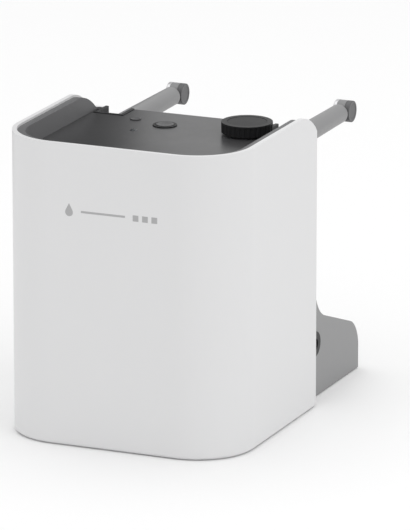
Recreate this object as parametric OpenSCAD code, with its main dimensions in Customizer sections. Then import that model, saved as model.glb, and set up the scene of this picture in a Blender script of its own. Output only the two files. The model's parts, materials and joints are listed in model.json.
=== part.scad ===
// Fluid station: a closed tank in a white housing, with a peristaltic pump in a low rear
// base and two swing-up arms that end in turning spouts.
// Inside every part, Y is the distance behind the housing's front face and Z is the height
// above the surface the object stands on. place() moves both to the part's own frame.

/* [Housing] */
// Width of the white housing
body_w = 140; // [138:1:146]
// Height of the rim above the surface the object stands on
body_h = 170; // [168:1:176]
// Depth of the white housing, front face to back face
body_d = 128; // [128:1:132]
// Depth of the whole object, front face to the tips of the spouts
overall_d = 213; // [211:1:218]
// Radius of the two upright front corners
front_r = 33; // [28:1:36]
// Radius of the two upright back corners
back_r = 8; // [7:1:9]
// Wall thickness of the housing
shell_t = 2.6; // [2.2:0.1:3]
// Height of the rim above the top deck
deck_drop = 12; // [10:1:14]
// Width of the grey lining inside the rim
liner_w = 4.5; // [3.5:0.5:5]

/* [Filler] */
// Distance of the filler to the right of the centre line
filler_x = 36.6; // [30:0.2:38]
// Distance of the filler behind the front face
filler_y = 101.7; // [97:0.1:102]
// Diameter of the screw cap
cap_d = 28.4; // [28:0.2:30]
// Rise of the screw thread in one turn
thread_lead = 2.4; // [2.3:0.1:2.6]

/* [Arms] */
// Distance of each arm from the centre line
arm_x = 51.3; // [50:0.1:51.4]
// Height of the arms and of their pivots
arm_z = 148.4; // [148:0.1:149.2]
// Distance of the arms' pivots behind the front face
pivot_y = 120.5; // [120:0.1:121]
// Diameter of an arm at its root
arm_d = 12; // [11.6:0.2:12.4]
// Diameter of a spout's crosswise barrel
spout_d = 12.4; // [11.6:0.2:12.6]
// Length of a spout's crosswise barrel
spout_w = 9; // [9:0.5:10]
// Diameter of the outlet hole under each spout
outlet_d = 4; // [3:0.5:4]

/* [Rear base] */
// Width of the rear base and of the back cover
foot_w = 125; // [122:1:126]
// Distance of the rear base's back face behind the front face
foot_y = 203; // [200:1:206]
// Distance of the back cover's back face behind the front face
cover_y = 138.5; // [138:0.5:140]
// Height of the rear base's sloping top at the foot of the back cover
slope_z = 49.1; // [48:0.1:50]
// Fall of the sloping top for each millimetre of depth
slope_k = 0.35; // [0.33:0.01:0.37]

/* [Controls] */
// Diameter of the round power button
power_d = 10; // [9:0.5:10.5]
// Diameter of the small priming button
prime_d = 6; // [5:0.5:6.5]
// How far the buttons travel
button_travel = 1; // [0.6:0.1:1]

/* [Pump] */
// Distance of the pump's axis behind the front face
pump_y = 163; // [161:1:165]
// Height of the pump's axis
pump_z = 21; // [21:0.5:22]
// Radius of the pump tube's bend
track_r = 11; // [11:0.5:11.5]

/* [Hidden] */
$fn = 64;
gap = 0.15;
roller_count = 3;
screw_r = 1.4;
screw_hole_r = 1.45;
head_r = 2.7;
head_t = 1.7;
under_z = 0.2;
floor_z = 0.5;
shell_z = 1.6;
plug_z = 4.4;
tongue_z = 2.8;
deck_t = 2.5;
deck_z = body_h - deck_drop;
deck_z0 = deck_z - deck_t;
inner_x = body_w / 2 - shell_t;
open_x = 60.3;
panel_y0 = 122.9;
panel_y1 = body_d - shell_t;
fall_r = 34;
fall_y = 96;
mark_x = -24.5;
mark_z = 131;

lug_z = 134;
lug_y = 119.9;

tank_x = 58;
tank_y0 = 7;
tank_y1 = 118.5;
tank_z1 = 134;
tank_t = 2;
lid_t = 3;

neck_r = 9.8;
neck_z1 = deck_z + 4.9;
cap_r = cap_d / 2;
cap_z0 = deck_z + 1.1;
cap_z1 = deck_z + 7.2;
cap_cave_r = 11.2;
seal_z0 = neck_z1 + 0.05;
seal_t = 0.9;
ridge_w = 0.9;

pin_r = 3;
tip_r = 5.4;
barrel_r = spout_d / 2 - 0.1;
core_r = spout_d / 2 - 1;
fit = 0.06;
bracket_x = 8.8;
slot_x = 6.8;
bracket_y0 = 112.2;
bracket_z0 = 140.6;
barb_x = 33.5;
spout_y = overall_d - spout_d / 2;
arm_end_y = spout_y - spout_d / 2 - 0.4;
stub_y0 = arm_end_y - 13;

board_z = 146.5;
board_t = 1.6;
board_top = board_z + board_t;
board_min = [-48, 78];
board_max = [2, 111];
board_posts = [[-45, 81], [-1, 81], [-45, 104], [-1, 108]];
power_at = [-12.5, 101.5];
prime_at = [-32.8, 107.4];
lens_at = [-24, 85];
flange_z = deck_z0 - 1.6;
stem_z = board_top + 3.5 + 0.3 + button_travel;

foot_x = foot_w / 2;
foot_t = 2.5;
foot_top = 63.5;
nose_r = 18;
cove_r = 20;
inlet_at = [137, 31.5];
hose_r = 3.4;
hose_ri = 2.6;
barb_r = 2.5;
column_y = 132;
tee_z = 122;
tube_x = 14.8;
tube_r = 2.5;
roller_at = 5.6;
roller_r = 2.6;
wire_r = 1.2;
outlet_z = 12;
float_at = [-36, 60];
float_z0 = 20;
float_h = 12;

base_points = [[56.4, 13.6], [62.6, 112]];
rear_points = [[56.8, 148], [56.8, 190]];
foot_points = [[46, 24], [46, 184]];
cover_points = [[54, 74], [54, 128]];

// ---------------------------------------------------------------- helpers

module place() {
    translate([0, -overall_d / 2, 0]) children();
}

module both_sides() {
    children();
    mirror([1, 0, 0]) children();
}

module at(x, y, z) {
    translate([x, y, z]) children();
}

// A block given by its lowest and highest corners
module block(low, high) {
    translate(low) cube(high - low);
}

module rod_x(r, x0, x1, y, z) {
    translate([x0, y, z]) rotate([0, 90, 0]) cylinder(r = r, h = x1 - x0);
}

module rod_y(r, y0, y1, x, z) {
    translate([x, y0, z]) rotate([-90, 0, 0]) cylinder(r = r, h = y1 - y0);
}

module rod_z(r, z0, z1, x = 0, y = 0) {
    translate([x, y, z0]) cylinder(r = r, h = z1 - z0);
}

// Four-sided outline with its own front and back corner radii
module rounded(w, y0, y1, rf, rb) {
    translate([-w, y0 + rf]) square([2 * w, y1 - rb - y0 - rf]);
    translate([rf - w, y0]) square([2 * (w - rf), rf + 1]);
    translate([rb - w, y1 - rb - 1]) square([2 * (w - rb), rb + 1]);
    for (s = [-1, 1]) {
        translate([s * (w - rf), y0 + rf]) circle(rf);
        translate([s * (w - rb), y1 - rb]) circle(rb);
    }
}

// Plan outline of the housing, moved inwards by inset
module outline(inset) {
    rounded(body_w / 2 - inset, inset, body_d - inset, front_r - inset, max(back_r - inset, 1));
}

// Slab of the housing's outline between two heights
module slab(inset, z0, z1) {
    translate([0, 0, z0]) linear_extrude(z1 - z0) outline(inset);
}

// Everything above the line on which the side walls fall to the deck
module fall_cut(drop = 0) {
    difference() {
        block([-body_w, fall_y, deck_z + 0.01], [body_w, body_d + 40, body_h + 20]);
        rod_x(fall_r - drop, -body_w - 1, body_w + 1, fall_y, body_h - fall_r + 0.3);
    }
}

function unit(v) = v / norm(v);

function tangents(p) = [for (i = [0:len(p) - 1])
    unit(p[min(i + 1, len(p) - 1)] - p[max(i - 1, 0)])];

function normals(t, i = 0, last = [0, 0, 1], out = []) =
    i == len(t) ? out :
    let (side = abs(t[0].z) < 0.9 ? [0, 0, 1] : [1, 0, 0])
    let (n = i == 0 ? unit(cross(t[0], side)) : unit(last - (last * t[i]) * t[i]))
    normals(t, i + 1, n, concat(out, [n]));

// Points of a smooth curve through the given ones
function smooth(p, steps) = concat([for (i = [0:len(p) - 2]) for (s = [0:steps - 1])
    let (a = p[max(i - 1, 0)], b = p[i], c = p[i + 1], d = p[min(i + 2, len(p) - 1)])
    let (u = s / steps)
    0.5 * (2 * b + (c - a) * u + (2 * a - 5 * b + 4 * c - d) * u * u
        + (3 * b - a - 3 * c + d) * u * u * u)], [p[len(p) - 1]]);

function rings(p, r, sides) = let (t = tangents(p), n = normals(t))
    [for (i = [0:len(p) - 1]) for (j = [0:sides - 1])
        let (a = 360 * j / sides) p[i] + r * (cos(a) * n[i] + sin(a) * cross(t[i], n[i]))];

function skin(sides, count, first, inside) = [for (i = [0:count - 2]) for (j = [0:sides - 1])
    let (a = first + i * sides + j, b = first + i * sides + (j + 1) % sides)
    inside ? [a + sides, b + sides, b, a] : [a, b, b + sides, a + sides]];

// Solid rod swept along a route
module rod(p, r, sides = 8) {
    last = (len(p) - 1) * sides;
    polyhedron(rings(p, r, sides), concat(skin(sides, len(p), 0, true),
        [[for (j = [0:sides - 1]) j], [for (j = [sides - 1:-1:0]) last + j]]), convexity = 8);
}

// Hollow tube swept along a route
module tube(p, r, ri, sides = 12) {
    m = len(p) * sides;
    last = m - sides;
    ends = [for (j = [0:sides - 1]) let (k = (j + 1) % sides) [j, k, m + k, m + j]];
    far = [for (j = [0:sides - 1]) let (k = (j + 1) % sides)
        [last + j, last + m + j, last + m + k, last + k]];
    polyhedron(concat(rings(p, r, sides), rings(p, ri, sides)),
        concat(skin(sides, len(p), 0, true), skin(sides, len(p), m, false), ends, far),
        convexity = 8);
}

// Screw ridge from radius r0 at its root to r1 at its crest, starting at height z
module ridge(r0, r1, z, turns, phase) {
    steps = 24 * turns;
    h = ridge_w / 2;
    pts = [for (i = [0:steps])
        let (a = phase + 15 * i, c = z + thread_lead * i / 24)
        each [[r0 * cos(a), r0 * sin(a), c - h], [r1 * cos(a), r1 * sin(a), c - h * 0.6],
            [r1 * cos(a), r1 * sin(a), c + h * 0.6], [r0 * cos(a), r0 * sin(a), c + h]]];
    last = 4 * steps;
    polyhedron(pts, concat(skin(4, steps + 1, 0, r1 < r0),
        r1 < r0 ? [[0, 1, 2, 3], [last + 3, last + 2, last + 1, last]]
            : [[3, 2, 1, 0], [last, last + 1, last + 2, last + 3]]), convexity = 4);
}

// Pan-head screw with its head down, head face at z
module screw_up(x, y, z, length) {
    rod_z(head_r, z, z + head_t, x, y);
    rod_z(screw_r, z + head_t - 0.1, z + length, x, y);
}

// Pan-head screw with its head to the back, head face at y
module screw_forward(x, y, z, length) {
    rod_y(head_r, y - head_t, y, x, z);
    rod_y(screw_r, y - length, y - head_t + 0.1, x, z);
}

// Ridged hose tail along +X from x0, cut flat at its root x1
module barb(x0, x1, y, z) {
    rod_x(2.1, x0, x1, y, z);
    for (x = [x0 + 0.6:2.4:x1 - 2.4])
        translate([x, y, z]) rotate([0, 90, 0]) cylinder(r1 = 2.1, r2 = barb_r, h = 1.6);
}

// ---------------------------------------------------------------- housing

module boss(x, y, z0, z1) {
    difference() {
        rod_z(3.5, z0, z1, x, y);
        rod_z(1.45, z0 - 1, z1 - 2, x, y);
    }
}

module mark_bars() {
    for (i = [0:2]) translate([37.5 + 5.5 * i, 0]) square([3.4, 3.4]);
}

// Plain droplet, a line and three level blocks
module mark_2d() {
    translate([0, 1.2]) circle(2.3);
    translate([0, 2.2]) polygon([[-2.1, 0], [0, 4], [2.1, 0]]);
    translate([7, 1.4]) square([26, 1.2]);
    mark_bars();
}

module mark_solid(depth) {
    translate([mark_x, depth, mark_z]) rotate([90, 0, 0]) linear_extrude(depth) mark_2d();
}

module shell() color("whitesmoke") place() difference() {
    union() {
        difference() {
            slab(0, shell_z, body_h);
            slab(shell_t, shell_z - 1, body_h + 1);
        }
        difference() {
            slab(shell_t - 0.5, deck_z0 - 2.1, deck_z0 - gap);
            slab(shell_t + 2, deck_z0 - 3, deck_z0 + 1);
            block([-open_x - 2, 105, deck_z0 - 4], [open_x + 2, body_d + 5, deck_z0 + 2]);
        }
        both_sides() {
            for (p = base_points) boss(p.x, p.y, plug_z, plug_z + 14);
            difference() {
                block([63.5, 110.5, plug_z], [inner_x + 0.5, 113.5, plug_z + 14]);
                rod_z(2, plug_z - 1, plug_z + 12, base_points[1].x, base_points[1].y);
            }
        }
    }
    block([-open_x, body_d - 8, 0], [open_x, body_d + 5, body_h + 5]);
    fall_cut();
    translate([0, -1, 0]) mark_solid(1.5);
}

module front_mark() color("gray") place() translate([0, 0.02, 0]) mark_solid(0.45);

module liner() color("dimgray") place() difference() {
    slab(shell_t + 0.1, deck_z, body_h - 1.2);
    slab(shell_t + liner_w, deck_z + 1.2, body_h + 1);
    slab(shell_t + liner_w + 1.1, deck_z - 1, body_h + 1);
    fall_cut(1.2);
    block([-open_x, 105, deck_z - 1], [open_x, body_d + 5, body_h + 5]);
}

module deck() color("gray") place() difference() {
    union() {
        slab(shell_t + gap, deck_z0, deck_z);
        block([-open_x + gap, 110, deck_z0], [open_x - gap, body_d, deck_z]);
        for (p = board_posts) rod_z(2.4, board_top, deck_z0 + 0.5, p.x, p.y);
    }
    for (p = board_posts) rod_z(1.05, board_top - 1, deck_z0 - 0.5, p.x, p.y);
    rod_z(neck_r + 0.3, deck_z0 - 1, deck_z + 1, filler_x, filler_y);
    rod_z(power_d / 2 + 0.9, deck_z0 - 1, deck_z + 1, power_at.x, power_at.y);
    rod_z(prime_d / 2 + gap, deck_z0 - 1, deck_z + 1, prime_at.x, prime_at.y);
    rod_z(2.3, deck_z0 - 1, deck_z + 1, lens_at.x, lens_at.y);
    both_sides() block([arm_x - bracket_x - gap, bracket_y0 - gap, deck_z0 - 1],
        [open_x + 1, body_d + 1, deck_z + 1]);
}

module base_plate() color("dimgray") place() difference() {
    union() {
        slab(1.2, floor_z, shell_z);
        slab(shell_t + gap, shell_z - 0.5, plug_z);
        translate([0, 0, floor_z]) linear_extrude(tongue_z - floor_z)
            rounded(foot_x - foot_t - gap, 90, foot_y - foot_t - gap, 2, 3);
    }
    both_sides() {
        for (p = concat(base_points, rear_points)) {
            rod_z(3, 0, under_z + head_t, p.x, p.y);
            rod_z(1.5, 0, plug_z + 1, p.x, p.y);
        }
        for (p = foot_points) rod_z(7.1, 0, floor_z + 1, p.x, p.y);
    }
}

module feet() color("black") place() both_sides()
    for (p = foot_points) rod_z(7, 0, floor_z + 1, p.x, p.y);

module base_screws() color("silver") place() both_sides() {
    for (p = base_points) screw_up(p.x, p.y, under_z, 13);
    for (p = rear_points) screw_up(p.x, p.y, under_z, 11);
}

module back_panel() color("dimgray") place() difference() {
    union() {
        block([-open_x + gap, panel_y1, tongue_z], [open_x - gap, body_d, deck_z0 - gap]);
        block([-61.8, panel_y0, plug_z + gap], [61.8, panel_y1 + 0.01, deck_z0 - gap]);
    }
    both_sides() {
        block([18, panel_y0 - 1, 136], [32, body_d - 0.8, 153]);
        block([18, panel_y0 - 1, 136], [32, body_d + 1, 138.5]);
        block([31, panel_y0 - 1, 144.5], [arm_x - bracket_x, 124.6, 153.5]);
        block([arm_x - bracket_x - gap, panel_y0 - 1, bracket_z0 - gap],
            [64, body_d + 1, deck_z0 + 1]);
        rod_y(1.5, panel_y0 - 1, body_d + 1, arm_x, lug_z);
        for (p = cover_points) rod_y(1.45, panel_y0 - 1, body_d + 1, p.x, p.y);
    }
    block([-41, panel_y0 - 1, 118], [41, body_d + 1, 137]);
    rod_y(6, panel_y0 - 1, body_d + 1, tube_x, outlet_z);
    block([20, panel_y0 - 1, 22], [40, body_d + 1, 34]);
}

// ---------------------------------------------------------------- rear base and back cover

// Side profile of the rear base with its wall moved inwards by t
module foot_profile(t) {
    drop = t * sqrt(1 + slope_k * slope_k);
    back = foot_y - t;
    wall = cover_y - t;
    low = t > 0 ? -1 : floor_z;
    front = body_d + (t > 0 ? -1 : 0.05);
    top = foot_top + (t > 0 ? 1 : 0);
    nose_y = foot_y - nose_r;
    lean = sqrt(1 + slope_k * slope_k);
    nose_z = slope_z - slope_k * (nose_y - cover_y) - nose_r * lean;
    cove_y = cover_y + cove_r;
    cove_z = slope_z - slope_k * cove_r + cove_r * lean;
    r = nose_r - t;
    edge = [nose_y + r * slope_k / lean, nose_z + r / lean];
    polygon([[front, low], [back, low], [back, nose_z], [nose_y, nose_z], edge,
        [wall, slope_z - drop + slope_k * t], [wall, top], [front, top]]);
    translate([nose_y, nose_z]) circle(r);
    difference() {
        polygon([[wall - 1, slope_z - drop - 3], [cove_y - cove_r * slope_k / lean,
            cove_z - (cove_r + t + 1.5) / lean], [cove_y, cove_z], [wall - 1, cove_z]]);
        translate([cove_y, cove_z]) circle(cove_r + t);
    }
}

module foot_solid(t) {
    intersection() {
        rotate([90, 0, 90]) linear_extrude(2 * (foot_x - t), center = true) foot_profile(t);
        translate([0, 0, t > 0 ? -2 : floor_z]) linear_extrude(foot_top + 10)
            rounded(foot_x - t, body_d - 10, foot_y - t, 1, 5 - t);
    }
}

module rear_base() color("gray") place() difference() {
    union() {
        difference() {
            foot_solid(0);
            foot_solid(foot_t);
        }
        both_sides() for (p = rear_points) boss(p.x, p.y, tongue_z, tongue_z + 12);
    }
    rod_x(6.6, 50, 70, inlet_at.x, inlet_at.y);
    for (i = [-3:3]) block([8 * i - 1.1, foot_y - 6, 7], [8 * i + 1.1, foot_y + 1, 16]);
}

// Side profile of the back cover: upright, with a rounded top back edge
module cover_profile(t) {
    r = 7 - t;
    z1 = 139 - t;
    y1 = cover_y - t;
    z0 = foot_top + (t > 0 ? -1 : 0.3);
    y0 = body_d + (t > 0 ? -1 : 0.05);
    translate([y0, z0]) square([y1 - y0, z1 - r - z0]);
    translate([y0, z0]) square([y1 - r - y0, z1 - z0]);
    intersection() {
        translate([y1 - r, z1 - r]) circle(r);
        translate([y0, z0]) square([y1 - y0, z1 - z0]);
    }
}

module cover_solid(t) {
    intersection() {
        rotate([90, 0, 90]) linear_extrude(2 * (foot_x - t), center = true) cover_profile(t);
        translate([0, 0, 50]) linear_extrude(100)
            rounded(foot_x - t, body_d - 10, cover_y - t, 1, 5 - t);
    }
}

module back_cover() color("gray") place() difference() {
    union() {
        difference() {
            cover_solid(0);
            cover_solid(2.2);
        }
        both_sides() for (p = cover_points) rod_y(3.8, body_d + 0.05, cover_y - 0.5, p.x, p.y);
    }
    both_sides() for (p = cover_points) {
        rod_y(1.5, body_d - 1, cover_y + 1, p.x, p.y);
        rod_y(3, cover_y - 2.2, cover_y + 1, p.x, p.y);
    }
}

module cover_screws() color("silver") place() both_sides()
    for (p = cover_points) screw_forward(p.x, cover_y - 0.5, p.y, 15);

// Round low-voltage socket in the right side wall
module power_inlet() color("black") place() difference() {
    union() {
        rod_x(7.2, foot_x + 0.02, foot_x + 1, inlet_at.x, inlet_at.y);
        rod_x(6.5, foot_x - 15, foot_x + 0.5, inlet_at.x, inlet_at.y);
    }
    difference() {
        rod_x(3.2, foot_x - 10, foot_x + 2, inlet_at.x, inlet_at.y);
        rod_x(0.9, foot_x - 11, foot_x - 1, inlet_at.x, inlet_at.y);
    }
}

// ---------------------------------------------------------------- tank

module tank_slab(inset, z0, z1) {
    translate([0, 0, z0]) linear_extrude(z1 - z0)
        rounded(tank_x - inset, tank_y0 + inset, tank_y1 - inset, 26 - inset, 6 - inset);
}

module tank() color("ivory") place() difference() {
    tank_slab(0, plug_z, tank_z1);
    tank_slab(tank_t, plug_z + tank_t, tank_z1 + 1);
    rod_y(4.1, tank_y1 - 5, tank_y1 + 1, tube_x, outlet_z);
}

module tank_lid() color("ivory") place() difference() {
    union() {
        tank_slab(0, tank_z1, tank_z1 + lid_t);
        tank_slab(tank_t + gap, tank_z1 - 3, tank_z1 + 0.5);
        rod_z(neck_r + 2.2, tank_z1 - 3, tank_z1 + 6.4, filler_x, filler_y);
    }
    tank_slab(tank_t + 2, tank_z1 - 4, tank_z1 - 0.01);
    rod_z(neck_r + fit, tank_z1 - 4, tank_z1 + 8, filler_x, filler_y);
    rod_z(2.1, tank_z1 - 4, tank_z1 + 8, float_at.x, float_at.y);
}

module tank_outlet() color("black") place() difference() {
    union() {
        rod_y(5.4, tank_y1 - tank_t - 2.5, tank_y1 - tank_t, tube_x, outlet_z);
        rod_y(4, tank_y1 - tank_t - 8, tank_y1 + 7, tube_x, outlet_z);
        rod_y(5.4, tank_y1 + 0.02, tank_y1 + 3.5, tube_x, outlet_z);
        rod_y(2.45, tank_y1 + 6, tank_y1 + 14.2, tube_x, outlet_z);
    }
    rod_y(1.6, tank_y1 - 20, tank_y1 + 20, tube_x, outlet_z);
}

module suction_strainer() color("silver") place() difference() {
    rod_y(5.4, 98, 113.5, tube_x, outlet_z);
    rod_y(4.05, 99.2, 114, tube_x, outlet_z);
    for (y = [101:3:107]) for (a = [0:60:120])
        translate([tube_x, y, outlet_z]) rotate([0, a, 0]) cube([14, 1.2, 2.4], center = true);
}

module float_stem() color("silver") place() {
    rod_z(2, 12, tank_z1 + 5, float_at.x, float_at.y);
    rod_z(5, tank_z1 + lid_t, tank_z1 + lid_t + 3, float_at.x, float_at.y);
    rod_z(4, 15, float_z0 - 0.3, float_at.x, float_at.y);
    rod_z(4, 124, 126, float_at.x, float_at.y);
}

module level_float() color("orange") place() difference() {
    rod_z(11, float_z0, float_z0 + float_h, float_at.x, float_at.y);
    rod_z(2.4, float_z0 - 1, float_z0 + float_h + 1, float_at.x, float_at.y);
}

// ---------------------------------------------------------------- filler

module filler_neck() color("black") place() at(filler_x, filler_y, 0) {
    difference() {
        union() {
            rod_z(neck_r, 129, neck_z1);
            rod_z(11.6, deck_z, deck_z + 0.8);
        }
        rod_z(7.9, 128, neck_z1 + 1);
        difference() {
            rod_z(neck_r + 1, 135, 137.2);
            rod_z(8.7, 134, 138);
        }
    }
    ridge(neck_r - 0.3, neck_r + 1, deck_z + 2.2, 0.875, 0);
}

module neck_nut() color("black") place() at(filler_x, filler_y, deck_z0 - 5) difference() {
    rotate([0, 0, 30]) cylinder(r = 12.6, h = 4.9, $fn = 6);
    translate([0, 0, -1]) cylinder(r = neck_r + 0.02, h = 8);
}

module neck_seal() color("maroon") place() at(filler_x, filler_y, 136.1)
    rotate_extrude() translate([9.25, 0]) circle(0.5);

module filler_strainer() color("silver") place() at(filler_x, filler_y, 0) difference() {
    rod_z(7.75, 144, neck_z1 - 0.6);
    rod_z(6.9, 145, neck_z1);
    for (z = [147:3.4:157]) for (a = [0:45:135])
        translate([0, 0, z]) rotate([0, 0, a]) cube([20, 2.4, 2], center = true);
    for (x = [-4:2.67:4]) for (y = [-4:2.67:4]) rod_z(0.9, 143, 146, x, y);
}

module cap_seal() color("maroon") place() at(filler_x, filler_y, 0)
    rod_z(neck_r + 0.6, seal_z0, seal_z0 + seal_t);

module filler_cap() color("black") place() at(filler_x, filler_y, 0) {
    difference() {
        rod_z(cap_r, cap_z0, cap_z1);
        rod_z(cap_cave_r, cap_z0 - 1, seal_z0 + seal_t + 0.05);
        rod_z(cap_r - 3.1, cap_z1 - 0.5, cap_z1 + 1);
        for (a = [0:12:348]) rotate([0, 0, a]) rod_z(0.55, cap_z0 - 1, cap_z1 + 1, cap_r + 0.2, 0);
    }
    ridge(cap_cave_r + 0.3, cap_cave_r - 1, deck_z + 2.2 - thread_lead / 6, 0.875, 120);
}

module cap_disc() color("dimgray") place() at(filler_x, filler_y, 0)
    rod_z(cap_r - 3.2, cap_z1 - 0.49, cap_z1 - 0.1);

// ---------------------------------------------------------------- controls

module control_board() color("darkgreen") place() difference() {
    block([board_min.x, board_min.y, board_z], [board_max.x, board_max.y, board_top]);
    for (p = board_posts) rod_z(1.3, board_z - 1, board_top + 1, p.x, p.y);
}

module board_parts() color("dimgray") place() {
    at(power_at.x, power_at.y, board_top + 1.75) cube([6, 6, 3.5], center = true);
    at(prime_at.x, prime_at.y, board_top + 1.75) cube([4, 4, 3.5], center = true);
    at(lens_at.x, lens_at.y, board_top + 0.5) cube([3, 3, 1], center = true);
    at(-30, 95, board_top + 0.8) cube([9, 9, 1.6], center = true);
    at(-8, 86, board_top + 2.5) cube([8, 6, 5], center = true);
    rod_z(3, board_top, board_top + 6, -36, 86);
}

module board_screws() color("silver") place() for (p = board_posts) {
    rod_z(1.9, board_z - 1.3, board_z, p.x, p.y);
    rod_z(1, board_z - 0.1, board_top + 5, p.x, p.y);
}

// Button with a wide foot under the deck and a stem above its switch
module push_button(p, d, top) {
    rod_z(d / 2, flange_z + 0.5, top, p.x, p.y);
    rod_z(d / 2 + 0.7, flange_z, flange_z + 1, p.x, p.y);
    rod_z(1.5, stem_z, flange_z + 0.5, p.x, p.y);
}

// Return spring between the board and the button's foot
module return_spring(p, r, wire) {
    z0 = board_top + wire + 0.03;
    z1 = flange_z - wire - 0.03;
    rod([for (i = [0:48]) let (a = 30 * i)
        [p.x + r * cos(a), p.y + r * sin(a), z0 + (z1 - z0) * i / 48]], wire, 6);
}

module power_button() color("dimgray") place() push_button(power_at, power_d, deck_z + 0.7);

module power_spring() color("silver") place()
    return_spring(power_at, power_d / 2 + 0.15, 0.25);

module button_ring() color("black") place() difference() {
    union() {
        rod_z(power_d / 2 + 1.8, deck_z, deck_z + 0.6, power_at.x, power_at.y);
        rod_z(power_d / 2 + 0.85, deck_z0, deck_z + 0.3, power_at.x, power_at.y);
    }
    rod_z(power_d / 2 + gap, deck_z0 - 1, deck_z + 1, power_at.x, power_at.y);
}

module prime_button() color("dimgray") place() push_button(prime_at, prime_d, deck_z + 0.5);

module prime_spring() color("silver") place()
    return_spring(prime_at, prime_d / 2 + 0.25, 0.2);

module status_lens() color("white") place() {
    rod_z(2.2, board_top + 1.5, deck_z + 0.2, lens_at.x, lens_at.y);
    rod_z(3.2, deck_z0 - 1.2, deck_z0 - 0.02, lens_at.x, lens_at.y);
}

// ---------------------------------------------------------------- pump

module pump_outline(x0, x1, inset) {
    r = track_r + 4.5 - inset;
    rod_x(r, x0, x1, pump_y, pump_z);
    block([x0, pump_y - 14 + (inset > 0 ? -1 : 0), pump_z - r], [x1, pump_y, pump_z + r]);
}

module pump_head() color("dimgray") place() difference() {
    pump_outline(8, 20, 0);
    pump_outline(9.6, 21, 1.9);
    rod_x(1.9, 7, 10, pump_y, pump_z);
}

module pump_cover() color("black") place() pump_outline(20.05, 21.6, 0);

function pump_route() = concat([[tube_x, pump_y - 18, pump_z - track_r]],
    [for (a = [-90:15:90]) [tube_x, pump_y + track_r * cos(a), pump_z + track_r * sin(a)]],
    [[tube_x, pump_y - 18, pump_z + track_r]]);

module pump_tube() color("orange") place() tube(pump_route(), tube_r, 1.6);

module pump_rotor() color("white") place() difference() {
    union() {
        rod_x(7.9, 10, 11.5, pump_y, pump_z);
        rod_x(7.9, 18.1, 19.6, pump_y, pump_z);
        rod_x(2.6, 11, 18.5, pump_y, pump_z);
        rod_x(1.5, 0, 10.5, pump_y, pump_z);
        for (i = [0:roller_count - 1]) let (a = 360 * i / roller_count)
            rod_x(0.8, 11, 18.5, pump_y + roller_at * cos(a), pump_z + roller_at * sin(a));
    }
    translate([-1, pump_y + 1.1, pump_z - 3]) cube([8, 3, 6]);
}

module roller(i) {
    a = 360 * i / roller_count;
    y = pump_y + roller_at * cos(a);
    z = pump_z + roller_at * sin(a);
    color("silver") place() difference() {
        rod_x(roller_r, 11.8, 17.8, y, z);
        rod_x(0.8 + fit, 11, 18.5, y, z);
    }
}

module gearbox() color("silver") place() difference() {
    rod_x(11, -4, 7.9, pump_y, pump_z);
    rod_x(1.5 + fit, -1, 9, pump_y, pump_z);
}

module pump_motor() color("gray") place() {
    rod_x(12, -34, -4, pump_y, pump_z);
    rod_x(4, -36, -33.9, pump_y, pump_z);
}

module pump_bracket() color("black") place() difference() {
    union() {
        block([-30, pump_y - 14, tongue_z], [7, pump_y + 14, tongue_z + 2]);
        for (x = [-28, -14]) block([x, pump_y - 13, tongue_z], [x + 4, pump_y + 13, pump_z - 2]);
    }
    rod_x(12.05, -40, 10, pump_y, pump_z);
}

// ---------------------------------------------------------------- hoses and wires

module suction_hose() color("ivory") place() tube(smooth([
    [tube_x, 128.5, outlet_z], [tube_x, 133, outlet_z], [tube_x, 140, pump_z - track_r + 0.8],
    [tube_x, 144, pump_z - track_r], [tube_x, 147, pump_z - track_r]], 3), hose_r, hose_ri);

module delivery_hose() color("ivory") place() tube(smooth([
    [tube_x, 148, pump_z + track_r], [tube_x, 144, pump_z + track_r + 0.3], [12, 138, 36],
    [6, 133, 46], [1, column_y, 60], [0, column_y, 74], [0, column_y, 92],
    [0, column_y, tee_z - 10], [0, column_y, tee_z - 4.2]], 3), hose_r, hose_ri);

module tee_fitting() color("black") place() difference() {
    union() {
        rod_x(3.2, -4, 4, column_y, tee_z);
        rod_z(3.2, tee_z - 4, tee_z, 0, column_y);
        rod_z(2.45, tee_z - 10, tee_z - 3, 0, column_y);
        both_sides() translate([-14, 0, 0]) barb(0, 11, column_y, tee_z);
    }
    rod_x(1.2, -20, 20, column_y, tee_z);
    rod_z(1.2, tee_z - 20, tee_z, 0, column_y);
}

module arm_hoses() color("ivory") place() both_sides() tube(smooth([
    [4.2, column_y, tee_z], [12, column_y, tee_z], [18, 131.6, tee_z + 1], [22, 129.5, 127],
    [24, 126, 132], [25, 123.4, 137], [26, 122.2, 141.5], [28.4, 121, 146.2],
    [32, pivot_y, arm_z], [arm_x - bracket_x - 1, pivot_y, arm_z]], 3), hose_r, hose_ri);

module wiring() color("black") place() {
    rod(smooth([[47, 136, 32], [40, 133, 40], [38, 131, 60], [38, 131, 108], [37, 130, 118],
        [35.5, 126, 124], [34.5, 121.6, 129], [34, 120, 133], [33.5, 119.9, 136.5],
        [33, 118.6, 139.6], [31, 115.5, 140.6], [25, 112.5, 141.5], [10, 108, 143],
        [-3, 104.6, 143.2], [-6, 104, 144.6], [-6, 104, 146.4]], 4), wire_r);
    rod(smooth([[-37.5, pump_y, 21], [-41, 158, 24], [-42, 146, 34], [-38, 133, 56],
        [-37, 131, 80], [-38, 131, 108], [-37, 130, 118], [-35.5, 126, 124],
        [-34.5, 121.6, 129], [-34, 120, 133], [-33.5, 119.9, 136.5], [-33, 118.6, 139.6],
        [-31, 115.5, 140.6], [-27, 110, 142], [-22, 105, 143.2], [-20, 104, 144.6],
        [-20, 104, 146.4]], 4), wire_r);
}

// ---------------------------------------------------------------- arms

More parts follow.
